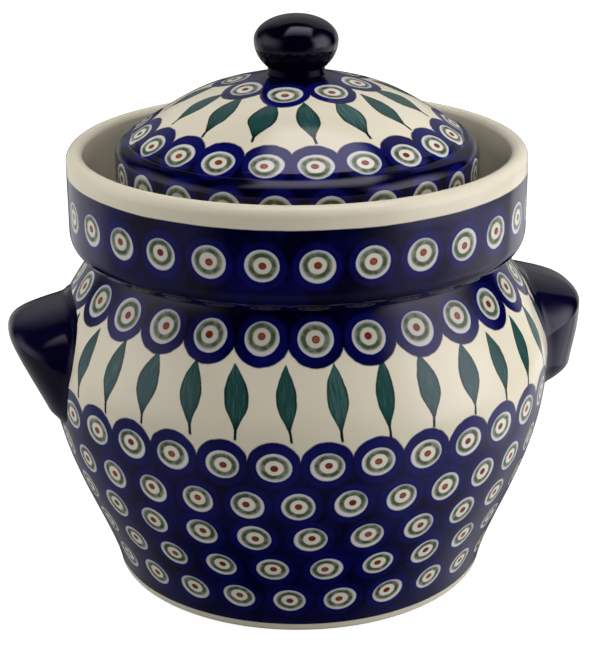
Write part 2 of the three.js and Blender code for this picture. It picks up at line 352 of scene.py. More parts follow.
def buildLeafRow():
    group, given = newGroup("leafRow", [
        ("Turn", 0.0), ("Radius", 0.0), ("Arc", 0.0), ("Row Arc", 0.0), ("Count", 34.0), ("Phase", 0.0),
        ("Length", 38.0), ("Width", 10.5), ("Belly", 1.0), ("Tip", 1.0), ("Lean", 0.18), ("Sway", 1.5),
        ("Seed", 5.0)], [("Leaf", floatOut), ("Color", colourOut)])
    stamp, across, along = stampPlace(group, given)
    chance = stampChance(group, stamp, given["Seed"])
    bend = stampChance(group, stamp, plus(group, given["Seed"], leafBrush["bendSeed"]))
    rise = calc(group, "DIVIDE", times(group, along, given["Tip"]), given["Length"])
    rise = times(group, rise, timesPlus(group, chance[2], leafBrush["lengthChance"], 1.0))

    # Place across the leaf, once it leans, sways and bows
    leaned = times(group, times(group, chance[0], given["Lean"]), times(group, rise, given["Length"]))
    swayed = times(group, bend[0], given["Sway"])
    bowed = times(group, times(group, bend[1], leafBrush["bow"]), times(group, rise, rise))
    x = less(group, less(group, across, leaned), plus(group, swayed, bowed))
    wobble = less(group, noise(group, objectPlace(group), leafBrush["wobbleScale"], 2.0), 0.5)
    x = plus(group, wobble, x)
    side = calc(group, "ABSOLUTE", x)

    # The blade, widest above its middle and drawn in towards the stem
    blade = addNode(group, "ShaderNodeMapRange", {"clamp": True}, {
        "Value": rise, "From Min": -0.5 + leafBrush["stemShare"], "From Max": 0.5}).outputs["Result"]
    hollow = timesPlus(group, softStep(group, blade, *leafBrush["hollowTo"]),
                       leafBrush["hollow"], 1 - leafBrush["hollow"])
    bulge = calc(group, "SINE", times(group, calc(group, "POWER", blade, given["Belly"]), math.pi))
    bulge = times(group, calc(group, "MAXIMUM", bulge, 0.0), hollow)
    stout = timesPlus(group, bend[2], leafBrush["stoutChance"], 0.5)
    half = times(group, times(group, given["Width"], stout), bulge)
    inside = softStep(group, less(group, side, half), leafBrush["bladeSoft"], -leafBrush["bladeSoft"])
    onBlade = times(group, inside, softStep(group, bulge, *leafBrush["bladeEnd"]))
    stemHalf = timesPlus(group, wobble, leafBrush["stemWobble"], leafBrush["stemHalf"])
    onStem = softStep(group, less(group, side, stemHalf), leafBrush["stemSoft"], -leafBrush["stemSoft"])
    onStem = times(group, onStem, softStep(group, rise, *leafBrush["stemEnd"]))
    onStem = times(group, onStem, softStep(group, blade, *leafBrush["stemTop"]))

    # Paint lies thick at the edges and at the stem, where the brush starts, and in streaks between
    nearEdge = calc(group, "DIVIDE", side, calc(group, "MAXIMUM", half, 0.4))
    nearEdge = times(group, softStep(group, nearEdge, *leafBrush["edgeFrom"]), leafBrush["edgeShare"])
    foot = times(group, softStep(group, blade, *leafBrush["footTo"]), leafBrush["footShare"])
    thick = calc(group, "MAXIMUM", nearEdge, calc(group, "MAXIMUM", foot, onStem))
    streak = addNode(group, "ShaderNodeCombineXYZ", None, {
        "X": times(group, x, leafBrush["streakAcross"]),
        "Y": times(group, along, leafBrush["streakAlong"]),
        "Z": times(group, stamp, leafBrush["streakStep"])}).outputs[0]
    tone = timesPlus(group, chance[1], leafBrush["toneChance"], noise(group, streak, 1.0))
    washed = mixColour(group, softStep(group, tone, *leafBrush["toneEdge"]), leafTeal, leafPale)
    closeGroup(group, {
        "Leaf": calc(group, "MAXIMUM", onBlade, onStem), "Color": mixColour(group, thick, washed, leafDark)})
    return group


# Cobalt laid on with a sponge: bright petals, darker seams between them, cloudy all over. Where a petal lies
# on the cream between two rows, its seam begins further out, past its edge.
sponge = {
    "cloudScale": 46.0, "cloudShare": 1.7, "mottleScale": 190.0, "mottleShare": 0.8,
    "seamReach": 12.2, "seamFurther": 2.6, "rowNear": 1.0, "rowClear": 6.0, "seamEdge": (-2.2, 1.2),
    "lineInside": (-1.3, -0.2), "lineOutside": (0.9, 0.0), "lineShare": 0.2, "noRow": 1000.0}


def buildCobaltWash():
    group, given = newGroup("cobaltWash", [
        ("Reach", 0.0), ("Arc", 0.0), ("Low Row", sponge["noRow"]), ("High Row", sponge["noRow"]),
        ("Depth", 0.6), ("Base", 0.15)], [("Color", colourOut)])
    pastLow = less(group, given["Arc"], given["Low Row"])
    beforeHigh = less(group, given["High Row"], given["Arc"])
    between = times(group, *(
        softStep(group, distance, sponge["rowNear"], sponge["rowClear"]) for distance in (pastLow, beforeHigh)))
    begins = timesPlus(group, between, sponge["seamFurther"], sponge["seamReach"])
    past = less(group, given["Reach"], begins)
    seam = softStep(group, past, *sponge["seamEdge"])
    line = times(group, softStep(group, past, *sponge["lineInside"]),
                 softStep(group, past, *sponge["lineOutside"]))
    place = objectPlace(group)
    dark = timesPlus(group, seam, given["Depth"], given["Base"])
    for scale, detail, share in ((sponge["cloudScale"], 5.0, sponge["cloudShare"]),
                                 (sponge["mottleScale"], 4.0, sponge["mottleShare"])):
        blot = less(group, noise(group, place, scale, detail), 0.5)
        dark = timesPlus(group, blot, share, dark)
    dark = timesPlus(group, line, sponge["lineShare"], dark)
    share = addNode(group, "ShaderNodeClamp", None, {"Value": dark}).outputs[0]
    closeGroup(group, {"Color": mixColour(group, share, cobalt, deepNavy)})
    return group


# Two tones of one colour in soft clouds
def buildCloudedColour():
    group, given = newGroup("cloudedColour", [
        ("First", cream), ("Second", creamShade), ("Scale", 30.0), ("Begin", 0.3), ("Full", 0.75),
        ("Share", 0.35)], [("Color", colourOut)])
    cloud = noise(group, objectPlace(group), given["Scale"], 4.0)
    share = times(group, stepNode(group, cloud, given["Begin"], given["Full"]), given["Share"])
    closeGroup(group, {"Color": mixColour(group, share, given["First"], given["Second"])})
    return group


# Skin of the glaze: faint throwing rings and a fine ripple for the bump, a few pinholes, uneven gloss
glaze = {
    "ringPitch": 900.0, "ringWander": 5.0, "ringWanderScale": 14.0, "ringRelief": 0.020,
    "swellScale": 22.0, "peelScale": 420.0, "peelRelief": 0.022,
    "pinholeScale": 95.0, "pinholeEdge": (0.055, 0.03), "pinholeRareScale": 37.0, "pinholeRare": (0.60, 0.66),
    "pinholeShare": 0.55, "unevenScale": 60.0, "uneven": 0.05, "gloss": 0.07, "navyGloss": 0.06, "shine": 0.55,
    "bumpStrength": 0.25, "bumpDistance": 0.0006, "refraction": 1.38, "mirrorTint": (0.90, 0.83, 1.0, 1)}


def buildGlazeSkin():
    group, given = newGroup("glazeSkin", [("Gloss", glaze["gloss"])], [
        ("Height", floatOut), ("Roughness", floatOut), ("Speck", floatOut)])
    place = objectPlace(group)
    wander = noise(group, place, glaze["ringWanderScale"], 2.0)
    rings = calc(group, "SINE", timesPlus(group, wander, glaze["ringWander"],
                                          times(group, heightOf(group, place), glaze["ringPitch"])))
    relief = timesPlus(group, rings, glaze["ringRelief"], noise(group, place, glaze["swellScale"], 2.0))
    relief = timesPlus(group, noise(group, place, glaze["peelScale"], 2.0), glaze["peelRelief"], relief)
    cells = addNode(group, "ShaderNodeTexVoronoi", None, {
        "Vector": place, "Scale": glaze["pinholeScale"]}).outputs["Distance"]
    rare = softStep(group, noise(group, place, glaze["pinholeRareScale"], 2.0), *glaze["pinholeRare"])
    speck = times(group, softStep(group, cells, *glaze["pinholeEdge"]), rare)
    rough = timesPlus(group, noise(group, place, glaze["unevenScale"]), glaze["uneven"], given["Gloss"])
    closeGroup(group, {"Height": relief, "Roughness": rough, "Speck": speck})
    return group


potPlace = buildPotPlace()
eyeRow = buildEyeRow()
leafRow = buildLeafRow()
cobaltWash = buildCobaltWash()
cloudedColour = buildCloudedColour()
glazeSkin = buildGlazeSkin()
print("node groups built:", len(bpy.data.node_groups))


def newMaterial(name):
    material = bpy.data.materials.new(name)
    material.use_nodes = True
    tree = material.node_tree
    tree.nodes.clear()
    return material, tree


# The glossy clear glaze over a painted colour
def glazeOver(tree, colour, gloss=glaze["gloss"], shine=glaze["shine"]):
    skin = useGroup(tree, glazeSkin, {"Gloss": gloss})
    bump = addNode(tree, "ShaderNodeBump", None, {
        "Strength": glaze["bumpStrength"], "Distance": glaze["bumpDistance"], "Height": skin["Height"]})
    flecked = mixColour(tree, times(tree, skin["Speck"], glaze["pinholeShare"]), colour, clayFleck)
    shader = addNode(tree, "ShaderNodeBsdfPrincipled", None, {
        "Base Color": flecked, "Roughness": skin["Roughness"], "IOR": glaze["refraction"],
        "Specular IOR Level": shine, "Specular Tint": glaze["mirrorTint"], "Normal": bump.outputs[0]})
    addNode(tree, "ShaderNodeOutputMaterial", None, {"Surface": shader.outputs[0]})


# How each plain finish clouds
creamTones = {"First": cream, "Second": creamShade, "Scale": 30.0, "Begin": 0.3, "Full": 0.75, "Share": 0.35}
navyTones = {"First": lugNavy, "Second": lugShade, "Scale": 38.0, "Begin": 0.35, "Full": 0.7, "Share": 1.0}
clayTones = {"First": clayBuff, "Second": clayShade, "Scale": 28.0, "Begin": 0.3, "Full": 0.75, "Share": 1.0}


def clouded(tree, tones):
    return useGroup(tree, cloudedColour, tones)["Color"]


def rowPhase(row):
    return -row["startAngle"] / 360 * row["count"]


def layEyes(tree, place, row, seed):
    # The row's factor darkens or lightens the discs' white: painted shade and painted light
    white = tuple(part * row["paintedLight"] for part in discWhite[:3]) + (1,)
    return useGroup(tree, eyeRow, {
        "Turn": place["Turn"], "Radius": place["Radius"], "Arc": place["Arc"], "Row Arc": row["arc"],
        "Count": float(row["count"]), "Phase": rowPhase(row), "Disc Width": row["discWidth"],
        "Disc Height": row["discHeight"], "Petal Radius": row["petal"], "Seed": float(seed), "White": white})


def layLeaves(tree, place, row, colour):
    leaves = useGroup(tree, leafRow, {
        "Turn": place["Turn"], "Radius": place["Radius"], "Arc": place["Arc"], "Row Arc": row["arc"],
        "Count": float(row["count"]), "Phase": rowPhase(row), "Length": row["length"], "Width": row["width"],
        "Belly": row["belly"], "Tip": row["tip"], "Lean": row["lean"], "Sway": row["sway"]})
    return mixColour(tree, leaves["Leaf"], colour, leaves["Color"])


def paintEyes(tree, colour, eyes):
    for eye in eyes:
        colour = mixColour(tree, eye["Disc"], colour, eye["Color"])
    return colour


def nearestReach(tree, eyes):
    reach = eyes[0]["Reach"]
    for eye in eyes[1:]:
        reach = calc(tree, "MINIMUM", reach, eye["Reach"])
    return reach


# The blue on one side of a row: its petals, and all that lies past their middles
def blueZone(tree, place, eye, row, side):
    return calc(tree, "MAXIMUM", calc(tree, side, place["Arc"], row["arc"]), eye["Petal"])


def newGlaze(name, tones, gloss):
    material, tree = newMaterial(name)
    glazeOver(tree, clouded(tree, tones), gloss)
    return material


# Unglazed clay: grain, clouds and a few flecks
clay = {
    "grainScale": 900.0, "bumpStrength": 0.35, "bumpDistance": 0.0004, "roughness": 0.62, "uneven": 0.2,
    "fleckScale": 420.0, "fleckEdge": (0.26, 0.16), "fleckRareScale": 160.0, "fleckRare": (0.55, 0.62),
    "fleckShare": 0.7}


def bareClay(name):
    material, tree = newMaterial(name)
    place = objectPlace(tree)
    grain = noise(tree, place, clay["grainScale"], 4.0)
    cells = addNode(tree, "ShaderNodeTexVoronoi", None, {
        "Vector": place, "Scale": clay["fleckScale"]}).outputs["Distance"]
    rare = softStep(tree, noise(tree, place, clay["fleckRareScale"]), *clay["fleckRare"])
    fleck = times(tree, softStep(tree, cells, *clay["fleckEdge"]), rare)
    fleck = times(tree, fleck, clay["fleckShare"])
    colour = mixColour(tree, fleck, clouded(tree, clayTones), clayFleck)
    bump = addNode(tree, "ShaderNodeBump", None, {
        "Strength": clay["bumpStrength"], "Distance": clay["bumpDistance"], "Height": grain})
    shader = addNode(tree, "ShaderNodeBsdfPrincipled", None, {
        "Base Color": colour, "Roughness": timesPlus(tree, grain, clay["uneven"], clay["roughness"]),
        "Normal": bump.outputs[0]})
    addNode(tree, "ShaderNodeOutputMaterial", None, {"Surface": shader.outputs[0]})
    return material


creamGlaze = newGlaze("creamGlaze", creamTones, glaze["gloss"])
navyGlaze = newGlaze("navyGlaze", navyTones, glaze["navyGloss"])
clayStone = bareClay("clayStone")


# Pot
pot = {
    "footRadius": 96.7, "footRingWidth": 13, "footRecess": 2.5, "footEdgeRound": 2.5,
    "flankLean": 0.22, "flankReach": 32.5, "bellyRadius": 128.7, "bellyHeight": 115,
    "bellyReachBelow": 49, "bellyReachAbove": 24, "shoulderHeight": 55.5, "waistLean": 0.3, "waistReach": 7,
    "wall": 8, "floorThickness": 9, "floorFillet": 8,
    "neckRadius": 80, "neckWall": 7, "neckHeight": 38, "shelfWidth": 23, "shelfThickness": 8, "shelfFillet": 4,
    "around": 192}
waistRadius = pot["neckRadius"] + pot["shelfWidth"]
waistHeight = pot["bellyHeight"] + pot["shoulderHeight"]
floorTop = pot["footRecess"] + pot["floorThickness"]
neckTop = waistHeight + pot["neckHeight"]

flank = bezierPoints(
    (pot["footRadius"], pot["footEdgeRound"]),
    (pot["footRadius"] + pot["flankLean"] * pot["flankReach"], pot["footEdgeRound"] + pot["flankReach"]),
    (pot["bellyRadius"], pot["bellyHeight"] - pot["bellyReachBelow"]),
    (pot["bellyRadius"], pot["bellyHeight"]), 44)
shoulder = bezierPoints(
    (pot["bellyRadius"], pot["bellyHeight"]),
    (pot["bellyRadius"], pot["bellyHeight"] + pot["bellyReachAbove"]),
    (waistRadius + pot["waistLean"] * pot["waistReach"], waistHeight - pot["waistReach"]),
    (waistRadius, waistHeight), 32)
wall = flank + shoulder[1:]


def wallRadius(height):
    return readBetween(wall, 1, min(max(height, wall[0][1]), wall[-1][1]), 0)


shelfUnder = waistHeight - pot["shelfThickness"]


def potOutline():
    ringInner = pot["footRadius"] - pot["footRingWidth"]
    filletTop = floorTop + pot["floorFillet"]
    floorRadius = wallRadius(filletTop) - pot["wall"] - pot["floorFillet"]
    under = [(0, pot["footRecess"]), (ringInner * 0.5, pot["footRecess"]),
             (ringInner - pot["footRecess"], pot["footRecess"]), (ringInner, 0)]
    under += arcPoints(pot["footRadius"] - pot["footEdgeRound"], pot["footEdgeRound"],
                       pot["footEdgeRound"], pot["footEdgeRound"], -90, 0, 6)
    outside = [point for point in wall[1:] if point[1] < shelfUnder]
    rim = [(wallRadius(shelfUnder), shelfUnder)]
    inside = [(r - pot["wall"], z) for r, z in rim + outside[::-1] if z > filletTop]
    inside += arcPoints(floorRadius, filletTop, pot["floorFillet"], pot["floorFillet"], 0, -90, 6)
    inside += [(floorRadius * 0.5, floorTop), (0, floorTop)]
    bareEnd = 4  # the unglazed foot ring
    finishes = [2] * bareEnd + [0] * (len(under) + len(outside) - bareEnd) + [1] * len(inside)
    return under + outside + rim + inside, finishes, len(under) - 1


potLine, potFinishes, wallStart = potOutline()
wallArcs = [(lengthsAlong(potLine)[wallStart] + length, z) for (r, z), length in zip(wall, lengthsAlong(wall))]


def potArc(height):
    return readBetween(wallArcs, 1, height, 0)


# Painted rows of the pot: height on the wall, angle of the stamp nearest the front, and the painted light on
# the discs' white: below 1 is painted shade, deepest under the collar, above 1 is painted light on the low
# flank
potRows = {
    "shoulder": {"height": 158.9, "count": 28, "startAngle": -96.8, "discWidth": 16.4, "discHeight": 16.6,
                 "petal": 13.6, "paintedLight": 0.76},
    "band": {"height": 103.8, "count": 33, "startAngle": -95.3, "discWidth": 16.4, "discHeight": 14.6,
             "petal": 13.1, "paintedLight": 0.98},
    "flank1": {"height": 82.3, "count": 32, "startAngle": -101.0, "discWidth": 15.8, "discHeight": 15.6,
               "petal": 13.0, "paintedLight": 1.02},
    "flank2": {"height": 61.9, "count": 28, "startAngle": -98.3, "discWidth": 15.9, "discHeight": 15.6,
               "petal": 13.0, "paintedLight": 1.02},
    "flank3": {"height": 41.9, "count": 27, "startAngle": -94.4, "discWidth": 15.9, "discHeight": 15.4,
               "petal": 13.0, "paintedLight": 1.06},
    "flank4": {"height": 20.8, "count": 26, "startAngle": -90.0, "discWidth": 15.9, "discHeight": 15.4,
               "petal": 13.0, "paintedLight": 1.08}}
potLeaves = {"height": 133.8, "count": 34, "startAngle": -103.5, "length": 36.2, "width": 10.2, "belly": 1.05,
             "tip": 1.0, "lean": 0.16, "sway": 1.2}
potBlue = {"footLine": 4.4, "footSoft": 0.2, "flankDepth": 0.52, "shoulderDeeper": 0.1, "flankBase": 0.12,
           "shoulderDarker": 0.24, "firstSeed": 3}


def potDecor():
    material, tree = newMaterial("potDecor")
    place = useGroup(tree, potPlace)
    for row in (*potRows.values(), potLeaves):
        row["arc"] = potArc(row["height"])
    shoulderRow, bandRow = potRows["shoulder"], potRows["band"]
    eyes = [layEyes(tree, place, row, seed) for seed, row in enumerate(potRows.values(), potBlue["firstSeed"])]
    colour = layLeaves(tree, place, potLeaves, clouded(tree, creamTones))
    topZone = blueZone(tree, place, eyes[0], shoulderRow, "GREATER_THAN")
    lowZone = blueZone(tree, place, eyes[1], bandRow, "LESS_THAN")
    footLine = potArc(potBlue["footLine"])
    lowZone = times(tree, lowZone, softStep(
        tree, place["Arc"], footLine - potBlue["footSoft"], footLine + potBlue["footSoft"]))
    onShoulder = calc(tree, "GREATER_THAN", place["Arc"], potLeaves["arc"])
    depth = timesPlus(tree, onShoulder, potBlue["shoulderDeeper"], potBlue["flankDepth"])
    base = timesPlus(tree, onShoulder, potBlue["shoulderDarker"], potBlue["flankBase"])
    wash = useGroup(tree, cobaltWash, {
        "Reach": nearestReach(tree, eyes), "Arc": place["Arc"], "Low Row": bandRow["arc"],
        "High Row": shoulderRow["arc"], "Depth": depth, "Base": base})["Color"]
    colour = mixColour(tree, calc(tree, "MAXIMUM", topZone, lowZone), colour, wash)
    glazeOver(tree, paintEyes(tree, colour, eyes))
    return material


potPaint = potDecor()
crockBody = turnedPiece("crockBody", potLine, pot["around"], potFinishes)
dress(crockBody, "crock", "crock_body", "decorated_glaze", potPaint, creamGlaze, clayStone)
print("pot turned:", len(crockBody.data.polygons), "faces")


# Neck ring: the shelf that closes the shoulder, and the neck on it. The pot's paint runs on over its edge.
def neckOutline():
    lip = pot["neckWall"] / 2
    mouthRadius = pot["neckRadius"] - pot["neckWall"]
    edge = [(wallRadius(shelfUnder), shelfUnder)] + [point for point in wall if point[1] > shelfUnder]
    neck = [(pot["neckRadius"], waistHeight)]
    neck += arcPoints(pot["neckRadius"] - lip, neckTop - lip, lip, lip, 0, 180, 12)
    neck += arcPoints(mouthRadius + pot["shelfFillet"], shelfUnder + pot["shelfFillet"],
                      pot["shelfFillet"], pot["shelfFillet"], 180, 270, 6)
    return edge + neck, [0] * (len(edge) - 1) + [1] * (len(neck) + 1)


neckLine, neckFinishes = neckOutline()
neckRing = turnedPiece("neckRing", neckLine, pot["around"], neckFinishes, True, potArc(shelfUnder))
dress(neckRing, "crock", "neck_ring", "cream_glaze", potPaint, creamGlaze)
print("neck ring turned:", len(neckRing.data.polygons), "faces")


# Water-trough collar. The lid's sizes stand here too, because the trough is built round its skirt.
collar = {
    "lutingGap": 0.3, "moatWidth": 15.5, "floorThickness": 9, "fillet": 5, "wall": 8.5, "height": 51.8,
    "hemHeight": 11.5, "rimInnerRound": 3.5, "loopAboveHem": 12, "loopBelowRim": 10, "loopInside": 16,
    "around": 192}
collarBlue = {"depth": 0.6, "base": 0.16, "creamLine": 212.6, "lineWobble": 0.8, "lineWobbleScale": 45.0,
              "lineSoft": (0.7, 0.1), "dullFrom": 1, "dullTo": 7, "dullShine": 0.08, "seed": 41}
lid = {
    "neckClearance": 4.5, "wall": 6.5, "aboveNeck": 10, "restGap": 0.3, "edgeRound": 2, "shoulderRound": 8,
    "edgeAngle": 57, "edgeReach": 51, "domeRise": 43, "crownReach": 54, "crownDrop": 14.2,
    "gasNotch": 6, "grooveAt": 84.2, "grooveFall": 2.7, "grooveRise": 0.8, "grooveDepth": 1.15,
    "skirtLoops": (22, 16, 12, 9, 6, 4), "around": 240}
skirtRadius = pot["neckRadius"] + lid["neckClearance"] + lid["wall"]
collarRadius = skirtRadius + collar["moatWidth"] + collar["wall"]
collarBottom = waistHeight + collar["lutingGap"]
moatFloorTop = collarBottom + collar["floorThickness"]


def collarOutline():
    rimTop = collarBottom + collar["height"]
    outerRound = collar["wall"] - collar["rimInnerRound"]
    moatRadius = collarRadius - collar["wall"]
    holeRadius = pot["neckRadius"] + collar["lutingGap"]
    outline = [(holeRadius, collarBottom)]
    outline += arcPoints(waistRadius, collarBottom + collar["hemHeight"], collarRadius - waistRadius,
                         collar["hemHeight"], -90, 0, 16)
    outline += [(collarRadius, collarBottom + collar["hemHeight"] + collar["loopAboveHem"]),
                (collarRadius, rimTop - outerRound - collar["loopBelowRim"])]
    outline += arcPoints(collarRadius - outerRound, rimTop - outerRound, outerRound, outerRound, 0, 90, 10)
    outline += arcPoints(moatRadius + collar["rimInnerRound"], rimTop - collar["rimInnerRound"],
                         collar["rimInnerRound"], collar["rimInnerRound"], 90, 180, 8)[1:]
    outline += [(moatRadius, rimTop - collar["loopInside"])]
    outline += arcPoints(moatRadius - collar["fillet"], moatFloorTop + collar["fillet"],
                         collar["fillet"], collar["fillet"], 0, -90, 6)
    outline += [(holeRadius, moatFloorTop)]
    return outline


collarLine = collarOutline()
collarLengths = lengthsAlong(collarLine)
# The collar's discs are dimmed a little by their factor: painted shade
collarRow = {"height": 196.0, "count": 29, "startAngle": -96.4, "discWidth": 16.2, "discHeight": 15.4,
             "petal": 13.0, "paintedLight": 0.87}


def collarArc(height):
    outerArcs = [(length, z) for (r, z), length in zip(collarLine, collarLengths) if r > collarRadius - 0.5]
    return readBetween(outerArcs, 1, height, 0)


def collarDecor():
    material, tree = newMaterial("collarDecor")
    place = useGroup(tree, potPlace)
    collarRow["arc"] = collarArc(collarRow["height"])
    eyes = [layEyes(tree, place, collarRow, collarBlue["seed"])]
    wobble = times(tree, noise(tree, objectPlace(tree), collarBlue["lineWobbleScale"]),
                   collarBlue["lineWobble"])
    lineFade = [collarArc(collarBlue["creamLine"]) + past for past in collarBlue["lineSoft"]]
    blue = softStep(tree, plus(tree, place["Arc"], wobble), *lineFade)
    wash = useGroup(tree, cobaltWash, {
        "Reach": eyes[0]["Reach"], "Depth": collarBlue["depth"], "Base": collarBlue["base"]})["Color"]
    colour = mixColour(tree, blue, clouded(tree, creamTones), wash)
    # The glaze runs thin and dull on the collar's underside
    thick = softStep(tree, heightOf(tree, objectPlace(tree)), (collarBottom + collarBlue["dullFrom"]) * metre,
                     (collarBottom + collarBlue["dullTo"]) * metre)
    dull = collarBlue["dullShine"]
    shine = timesPlus(tree, thick, glaze["shine"] - dull, dull)
    glazeOver(tree, paintEyes(tree, colour, eyes), shine=shine)
    return material


moatCollar = turnedPiece("moatCollar", collarLine, collar["around"], closed=True)
dress(moatCollar, "crock", "moat_collar", "decorated_glaze", collarDecor())
print("collar turned:", len(moatCollar.data.polygons), "faces")


# Lid
skirtTop = neckTop + lid["aboveNeck"]
skirtBottom = moatFloorTop + lid["restGap"]
crownHeight = skirtTop + lid["domeRise"]
lidShoulder = (skirtRadius - lid["shoulderRound"], skirtTop)
edgeAngle = math.radians(lid["edgeAngle"])
domeEdge = (lidShoulder[0] + lid["shoulderRound"] * math.cos(edgeAngle),
            lidShoulder[1] + lid["shoulderRound"] * math.sin(edgeAngle))
domeCurve = (
    (0, crownHeight), (lid["crownReach"], crownHeight - lid["crownDrop"]),
    (domeEdge[0] - lid["edgeReach"] * math.sin(edgeAngle),
     domeEdge[1] + lid["edgeReach"] * math.cos(edgeAngle)),
    domeEdge)
domeLine = bezierPoints(*domeCurve, 40)


# The dome and its shoulder, with the shallow step that runs round just above the skirt
def groovedDome():
    fine = bezierPoints(*domeCurve, 440)
    line = [point for i, point in enumerate(fine) if i % 4 == 0 or point[0] > lid["grooveAt"] - 5]
    line += arcPoints(*lidShoulder, lid["shoulderRound"], lid["shoulderRound"], lid["edgeAngle"], 0, 14)[1:]
    grooved = [line[0]]
    for before, (r, z), after in zip(line, line[1:], line[2:]):
        off = r - lid["grooveAt"]
        share = 1 + off / lid["grooveFall"] if off < 0 else 1 - off / lid["grooveRise"]
        depth = lid["grooveDepth"] * max(share, 0)
        along = Vector((after[0] - before[0], after[1] - before[1])).normalized()
        grooved.append((r + along.y * depth, z - along.x * depth))
    return grooved + line[-1:]


def lidOutline():
    edge = lid["edgeRound"]
    inner = skirtRadius - lid["wall"]
    outside = groovedDome()
    outside += [(skirtRadius, skirtBottom + step) for step in lid["skirtLoops"]]
    outside += arcPoints(skirtRadius - edge, skirtBottom + edge, edge, edge, 0, -90, 5)
    underneath = arcPoints(inner + edge, skirtBottom + edge, edge, edge, 270, 180, 5)
    underneath += [(inner, skirtBottom + step) for step in lid["skirtLoops"][::-1]]
    innerRound = lid["shoulderRound"] - lid["wall"]
    underneath += arcPoints(*lidShoulder, innerRound, innerRound, 0, lid["edgeAngle"], 8)
    for before, here, after in zip(domeLine[::-1], domeLine[::-1][1:], domeLine[::-1][2:]):
        along = Vector((after[0] - before[0], after[1] - before[1])).normalized()
        underneath.append((here[0] - along.y * lid["wall"], here[1] + along.x * lid["wall"]))
    underneath = [point for point in underneath if point[0] > 0]
    underneath.append((0, underneath[-1][1]))
    return outside, underneath


lidOutside, lidUnderneath = lidOutline()
lidLine = lidOutside + lidUnderneath
lidArcs = [(length, r, z) for (r, z), length in zip(lidOutside, lengthsAlong(lidOutside))]
# Each lid row's factor paints shade into its discs' white; the skirt row, down in the trough, gets the most
lidRows = {
    "crown": {"radius": 30.3, "count": 8, "startAngle": -111.0, "discWidth": 17.0, "discHeight": 15.4,
              "petal": 12.7, "paintedLight": 0.95},
    "edge": {"radius": 78.0, "count": 21, "startAngle": -94.3, "discWidth": 16.8, "discHeight": 14.0,
             "petal": 13.0, "paintedLight": 0.91},
    "skirt": {"height": 213.2, "count": 23, "startAngle": -91.4, "discWidth": 16.4, "discHeight": 15.6,
              "petal": 12.6, "paintedLight": 0.75}}
lidLeaves = {"radius": 52.4, "count": 15, "startAngle": -95.2, "length": 31.5, "width": 12.2, "belly": 0.92,
             "tip": -1.0, "lean": 0.2, "sway": 1.6}
lidBlue = {"depth": 0.85, "base": 0.15, "firstSeed": 51}


def lidDecor():
    material, tree = newMaterial("lidDecor")
    place = useGroup(tree, potPlace)
    for row in (*lidRows.values(), lidLeaves):
        row["arc"] = (readBetween(lidArcs, 1, row["radius"], 0) if "radius" in row
                      else readBetween(lidArcs, 2, row["height"], 0))
    eyes = [layEyes(tree, place, row, seed) for seed, row in enumerate(lidRows.values(), lidBlue["firstSeed"])]
    colour = layLeaves(tree, place, lidLeaves, clouded(tree, creamTones))
    crownZone = blueZone(tree, place, eyes[0], lidRows["crown"], "LESS_THAN")
    edgeZone = blueZone(tree, place, eyes[1], lidRows["edge"], "GREATER_THAN")
    wash = useGroup(tree, cobaltWash, {
        "Reach": nearestReach(tree, eyes), "Arc": place["Arc"], "Low Row": lidRows["crown"]["arc"],
        "High Row": lidRows["edge"]["arc"], "Depth": lidBlue["depth"], "Base": lidBlue["base"]})["Color"]
    colour = mixColour(tree, calc(tree, "MAXIMUM", crownZone, edgeZone), colour, wash)
    glazeOver(tree, paintEyes(tree, colour, eyes))
    return material


# The gas notches: the skirt's lower edge is lifted over a round bar laid across the lid
def cutGasNotches(piece):
    notch = lid["gasNotch"] * metre
    bottom = skirtBottom * metre
    for vert in piece.data.vertices:
        if abs(vert.co.x) < notch and vert.co.z < bottom + notch:
            vert.co.z = max(vert.co.z, bottom + math.sqrt(notch ** 2 - vert.co.x ** 2))


lidDome = turnedPiece("lidDome", lidLine, lid["around"],
                      [0] * (len(lidOutside) - 3) + [1] * (len(lidUnderneath) + 2))
cutGasNotches(lidDome)
dress(lidDome, "lid", "lid_dome", "decorated_glaze", lidDecor(), creamGlaze)
print("lid turned:", len(lidDome.data.polygons), "faces")


# Knob
knob = {
    "footRadius": 14.5, "neckRadius": 14, "radius": 20.8, "centreRise": 12.8, "topRise": 12.4, "underDrop": 18,
    "lutingGap": 0.3, "dullUnder": 3, "dullShine": 0.08, "around": 96}


def knobOutline():
    centre = crownHeight + knob["centreRise"]
    neckAngle = math.degrees(math.acos(knob["neckRadius"] / knob["radius"]))
    seat = [(r, z + knob["lutingGap"]) for r, z in domeLine if r < knob["footRadius"]]
    foot = readBetween(domeLine, 0, knob["footRadius"], 1) + knob["lutingGap"]
    outline = seat + [(knob["footRadius"], foot)]
    outline += arcPoints(0, centre, knob["radius"], knob["underDrop"], -neckAngle, 0, 16)
    outline += arcPoints(0, centre, knob["radius"], knob["topRise"], 0, 90, 20)[1:-1]
    return outline + [(0, centre + knob["topRise"])]


knobLine = knobOutline()
dullTop = crownHeight + knob["centreRise"] - knob["dullUnder"]  # below this the glaze is thin and dull
lidKnob = turnedPiece("lidKnob", knobLine, knob["around"], [int(z < dullTop) for r, z in knobLine[1:]])


def knobGlaze(name, shine):
    material, tree = newMaterial(name)
    glazeOver(tree, knobNavy, glaze["navyGloss"], shine)
    return material


dress(lidKnob, "lid", "lid_knob", "navy_glaze",
      knobGlaze("knobGlaze", glaze["shine"]), knobGlaze("knobUnderGlaze", knob["dullShine"]))
print("knob turned:", len(lidKnob.data.polygons), "faces")


